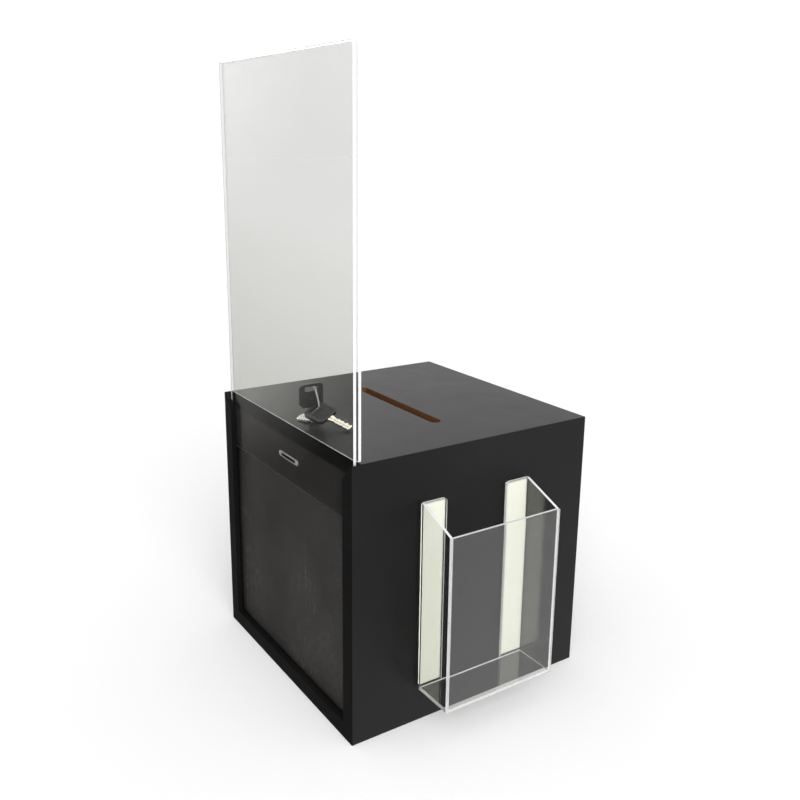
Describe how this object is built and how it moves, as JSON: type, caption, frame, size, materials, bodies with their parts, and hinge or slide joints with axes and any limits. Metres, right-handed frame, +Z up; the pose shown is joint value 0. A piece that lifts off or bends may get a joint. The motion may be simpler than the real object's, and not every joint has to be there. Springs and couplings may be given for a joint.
{
  "type": "donation box",
  "caption": "Locking black donation box with a coin slot, a slide-up lockable door, a clear folded sign header and a clear brochure pocket on its side.",
  "frame": {"origin": "centre of the box's underside", "axes": "+Z up; the sliding door and the sign header are on -Y, the brochure pocket is on +X"},
  "size_m": [0.3595, 0.305, 0.687],
  "materials": {
    "black_board": "satin black laminate",
    "door_black": "gloss",
    "strip_black": "satin",
    "trim_chrome": "polished",
    "clear_acrylic": "clear polished",
    "lock_plated": "nickel plated",
    "zinc_steel": "zinc plated",
    "wafer_brass": "plain",
    "key_steel": "plated",
    "key_plastic": "satin",
    "ring_wire": "bright",
    "foam_tape": "matt foam"
  },
  "bodies": {
    "box": {"left_side_panel": "black_board", "right_side_panel": "black_board", "bottom_panel": "black_board", "top_panel": "black_board", "fixed_panel": "black_board", "lock_body": "lock_plated", "lock_washer": "zinc_steel", "lock_nut": "zinc_steel", "pocket_front": "clear_acrylic", "pocket_side_left": "clear_acrylic", "pocket_side_right": "clear_acrylic", "pocket_floor": "clear_acrylic", "tape_left": "foam_tape", "tape_right": "foam_tape"},
    "door": {"sliding_door": "door_black", "door_head_strip": "strip_black", "strike_trim": "trim_chrome"},
    "header": {"sign_header": "clear_acrylic"},
    "lock": {"lock_plug": "lock_plated", "lock_wafers": "wafer_brass", "lock_cam": "zinc_steel", "cam_washer": "zinc_steel", "cam_screw": "zinc_steel"},
    "key": {"key_blade": "key_steel", "key_bow": "key_plastic"},
    "spare_key": {"key_ring": "ring_wire", "spare_key_blade": "key_steel", "spare_key_bow": "key_plastic"}
  },
  "joints": [
    {"name": "door_slide", "type": "slide", "parent": "box", "child": "door", "axis": [0, 0, 1], "range_m": [0, 0.26]},
    {"name": "header_slide", "type": "slide", "parent": "door", "child": "header", "axis": [0, 0, 1], "range_m": [0, 0.06]},
    {"name": "lock_turn", "type": "hinge", "parent": "box", "child": "lock", "pos_m": [0, -0.11, 0.305], "axis": [0, 0, 1], "range_deg": [0, 90]},
    {"name": "key_pull", "type": "slide", "parent": "lock", "child": "key", "axis": [0, 0, 1], "range_m": [0, 0.022]},
    {"name": "spare_key_lift", "type": "hinge", "parent": "key", "child": "spare_key", "pos_m": [0, -0.107, 0.34], "axis": [0, -1, 0], "range_deg": [0, 20]}
  ]
}
